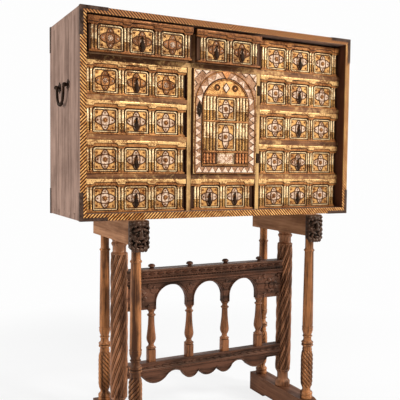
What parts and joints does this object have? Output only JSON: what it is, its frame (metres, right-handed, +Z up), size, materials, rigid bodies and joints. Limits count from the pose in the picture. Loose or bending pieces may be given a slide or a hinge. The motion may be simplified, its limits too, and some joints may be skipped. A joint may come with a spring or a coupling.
{
  "type": "writing cabinet on stand",
  "caption": "Spanish writing chest of arcaded drawers around a cupboard door, on a trestle stand with spiral-fluted columns and pull-out supports.",
  "frame": {"origin": "on the floor, under the middle of the cabinet's outline", "axes": "+X to the viewer's right as one faces the drawers, +Y from front to back, +Z up"},
  "size_m": [1.099, 0.4422, 1.4412],
  "materials": {
    "case_walnut": "old walnut, waxed and worn, grey-brown outside",
    "stand_walnut": "dark waxed walnut",
    "gilt_and_bone_walnut": "carved walnut with worn gilding, colour and bone inlay",
    "rope_inlay": "rope banding of light and dark wood",
    "dark_iron": "wrought iron, blackened"
  },
  "bodies": {
    "cabinet": {"case_top": "case_walnut", "case_bottom": "case_walnut", "case_left_side": "case_walnut", "case_right_side": "case_walnut", "case_back": "case_walnut", "edge_banding": "rope_inlay", "corner_irons": "dark_iron", "upper_shelf": "case_walnut", "row_shelves": "case_walnut", "left_divider": "case_walnut", "right_divider": "case_walnut", "top_dividers": "case_walnut", "handle_mounts": "dark_iron", "door_hinges": "dark_iron", "left_runner": "stand_walnut", "right_runner": "stand_walnut", "spiral_columns": "stand_walnut", "turned_columns": "stand_walnut", "left_loper_box": "stand_walnut", "right_loper_box": "stand_walnut", "bridge_top_rail": "stand_walnut", "bridge_arcade": "stand_walnut", "bridge_lower_rail": "stand_walnut", "bridge_balusters": "stand_walnut", "bridge_finials": "stand_walnut"},
    "drawer_left_1": {"drawer_left_1": "gilt_and_bone_walnut"},
    "pull_left_1": {"pull_left_1": "dark_iron"},
    "drawer_right_1": {"drawer_right_1": "gilt_and_bone_walnut"},
    "pull_right_1": {"pull_right_1": "dark_iron"},
    "drawer_left_2": {"drawer_left_2": "gilt_and_bone_walnut"},
    "pull_left_2": {"pull_left_2": "dark_iron"},
    "drawer_right_2": {"drawer_right_2": "gilt_and_bone_walnut"},
    "pull_right_2": {"pull_right_2": "dark_iron"},
    "drawer_left_3": {"drawer_left_3": "gilt_and_bone_walnut"},
    "pull_left_3": {"pull_left_3": "dark_iron"},
    "drawer_right_3": {"drawer_right_3": "gilt_and_bone_walnut"},
    "pull_right_3": {"pull_right_3": "dark_iron"},
    "drawer_left_4": {"drawer_left_4": "gilt_and_bone_walnut"},
    "pull_left_4": {"pull_left_4": "dark_iron"},
    "drawer_right_4": {"drawer_right_4": "gilt_and_bone_walnut"},
    "pull_right_4": {"pull_right_4": "dark_iron"},
    "drawer_left_5": {"drawer_left_5": "gilt_and_bone_walnut"},
    "pull_left_5": {"pull_left_5": "dark_iron"},
    "drawer_right_5": {"drawer_right_5": "gilt_and_bone_walnut"},
    "pull_right_5": {"pull_right_5": "dark_iron"},
    "drawer_centre_bottom": {"drawer_centre_bottom": "gilt_and_bone_walnut"},
    "pull_centre_bottom_left": {"pull_centre_bottom_left": "dark_iron"},
    "pull_centre_bottom_right": {"pull_centre_bottom_right": "dark_iron"},
    "drawer_centre_top": {"drawer_centre_top": "gilt_and_bone_walnut"},
    "pull_centre_top_left": {"pull_centre_top_left": "dark_iron"},
    "pull_centre_top_right": {"pull_centre_top_right": "dark_iron"},
    "door": {"door": "gilt_and_bone_walnut", "door_ironwork": "dark_iron"},
    "left_loper": {"left_loper": "stand_walnut"},
    "right_loper": {"right_loper": "stand_walnut"},
    "left_bail": {"left_bail": "dark_iron"},
    "right_bail": {"right_bail": "dark_iron"}
  },
  "joints": [
    {"name": "drawer_left_1_slide", "type": "slide", "parent": "cabinet", "child": "drawer_left_1", "axis": [0, -1, 0], "range_m": [0, 0.27]},
    {"name": "pull_left_1_swing", "type": "hinge", "parent": "drawer_left_1", "child": "pull_left_1", "pos_m": [-0.328, -0.1196, 0.8543], "axis": [-1, 0, 0], "range_deg": [0, 80]},
    {"name": "drawer_right_1_slide", "type": "slide", "parent": "cabinet", "child": "drawer_right_1", "axis": [0, -1, 0], "range_m": [0, 0.27]},
    {"name": "pull_right_1_swing", "type": "hinge", "parent": "drawer_right_1", "child": "pull_right_1", "pos_m": [0.328, -0.1196, 0.8543], "axis": [-1, 0, 0], "range_deg": [0, 80]},
    {"name": "drawer_left_2_slide", "type": "slide", "parent": "cabinet", "child": "drawer_left_2", "axis": [0, -1, 0], "range_m": [0, 0.27]},
    {"name": "pull_left_2_swing", "type": "hinge", "parent": "drawer_left_2", "child": "pull_left_2", "pos_m": [-0.328, -0.1196, 0.9803], "axis": [-1, 0, 0], "range_deg": [0, 80]},
    {"name": "drawer_right_2_slide", "type": "slide", "parent": "cabinet", "child": "drawer_right_2", "axis": [0, -1, 0], "range_m": [0, 0.27]},
    {"name": "pull_right_2_swing", "type": "hinge", "parent": "drawer_right_2", "child": "pull_right_2", "pos_m": [0.328, -0.1196, 0.9803], "axis": [-1, 0, 0], "range_deg": [0, 80]},
    {"name": "drawer_left_3_slide", "type": "slide", "parent": "cabinet", "child": "drawer_left_3", "axis": [0, -1, 0], "range_m": [0, 0.27]},
    {"name": "pull_left_3_swing", "type": "hinge", "parent": "drawer_left_3", "child": "pull_left_3", "pos_m": [-0.328, -0.1196, 1.1063], "axis": [-1, 0, 0], "range_deg": [0, 80]},
    {"name": "drawer_right_3_slide", "type": "slide", "parent": "cabinet", "child": "drawer_right_3", "axis": [0, -1, 0], "range_m": [0, 0.27]},
    {"name": "pull_right_3_swing", "type": "hinge", "parent": "drawer_right_3", "child": "pull_right_3", "pos_m": [0.328, -0.1196, 1.1063], "axis": [-1, 0, 0], "range_deg": [0, 80]},
    {"name": "drawer_left_4_slide", "type": "slide", "parent": "cabinet", "child": "drawer_left_4", "axis": [0, -1, 0], "range_m": [0, 0.27]},
    {"name": "pull_left_4_swing", "type": "hinge", "parent": "drawer_left_4", "child": "pull_left_4", "pos_m": [-0.328, -0.1196, 1.2323], "axis": [-1, 0, 0], "range_deg": [0, 80]},
    {"name": "drawer_right_4_slide", "type": "slide", "parent": "cabinet", "child": "drawer_right_4", "axis": [0, -1, 0], "range_m": [0, 0.27]},
    {"name": "pull_right_4_swing", "type": "hinge", "parent": "drawer_right_4", "child": "pull_right_4", "pos_m": [0.328, -0.1196, 1.2323], "axis": [-1, 0, 0], "range_deg": [0, 80]},
    {"name": "drawer_left_5_slide", "type": "slide", "parent": "cabinet", "child": "drawer_left_5", "axis": [0, -1, 0], "range_m": [-0.048, 0.222]},
    {"name": "pull_left_5_swing", "type": "hinge", "parent": "drawer_left_5", "child": "pull_left_5", "pos_m": [-0.328, -0.1676, 1.3583], "axis": [-1, 0, 0], "range_deg": [0, 80]},
    {"name": "drawer_right_5_slide", "type": "slide", "parent": "cabinet", "child": "drawer_right_5", "axis": [0, -1, 0], "range_m": [0, 0.27]},
    {"name": "pull_right_5_swing", "type": "hinge", "parent": "drawer_right_5", "child": "pull_right_5", "pos_m": [0.328, -0.1196, 1.3583], "axis": [-1, 0, 0], "range_deg": [0, 80]},
    {"name": "drawer_centre_bottom_slide", "type": "slide", "parent": "cabinet", "child": "drawer_centre_bottom", "axis": [0, -1, 0], "range_m": [0, 0.27]},
    {"name": "pull_centre_bottom_left_swing", "type": "hinge", "parent": "drawer_centre_bottom", "child": "pull_centre_bottom_left", "pos_m": [-0.0515, -0.1196, 0.8543], "axis": [-1, 0, 0], "range_deg": [0, 80]},
    {"name": "pull_centre_bottom_right_swing", "type": "hinge", "parent": "drawer_centre_bottom", "child": "pull_centre_bottom_right", "pos_m": [0.0515, -0.1196, 0.8543], "axis": [-1, 0, 0], "range_deg": [0, 80]},
    {"name": "drawer_centre_top_slide", "type": "slide", "parent": "cabinet", "child": "drawer_centre_top", "axis": [0, -1, 0], "range_m": [-0.037, 0.233]},
    {"name": "pull_centre_top_left_swing", "type": "hinge", "parent": "drawer_centre_top", "child": "pull_centre_top_left", "pos_m": [-0.0515, -0.1566, 1.3583], "axis": [-1, 0, 0], "range_deg": [0, 80]},
    {"name": "pull_centre_top_right_swing", "type": "hinge", "parent": "drawer_centre_top", "child": "pull_centre_top_right", "pos_m": [0.0515, -0.1566, 1.3583], "axis": [-1, 0, 0], "range_deg": [0, 80]},
    {"name": "door_hinge", "type": "hinge", "parent": "cabinet", "child": "door", "pos_m": [0.133, -0.1321, 1.104], "axis": [0, 0, 1], "range_deg": [0, 90]},
    {"name": "left_loper_slide", "type": "slide", "parent": "cabinet", "child": "left_loper", "axis": [0, -1, 0], "range_m": [0, 0.28]},
    {"name": "right_loper_slide", "type": "slide", "parent": "cabinet", "child": "right_loper", "axis": [0, -1, 0], "range_m": [0, 0.28]},
    {"name": "left_bail_swing", "type": "hinge", "parent": "cabinet", "child": "left_bail", "pos_m": [-0.543, 0.0309, 1.212], "axis": [0, 1, 0], "range_deg": [0, 110]},
    {"name": "right_bail_swing", "type": "hinge", "parent": "cabinet", "child": "right_bail", "pos_m": [0.543, 0.0309, 1.212], "axis": [0, -1, 0], "range_deg": [0, 110]}
  ]
}
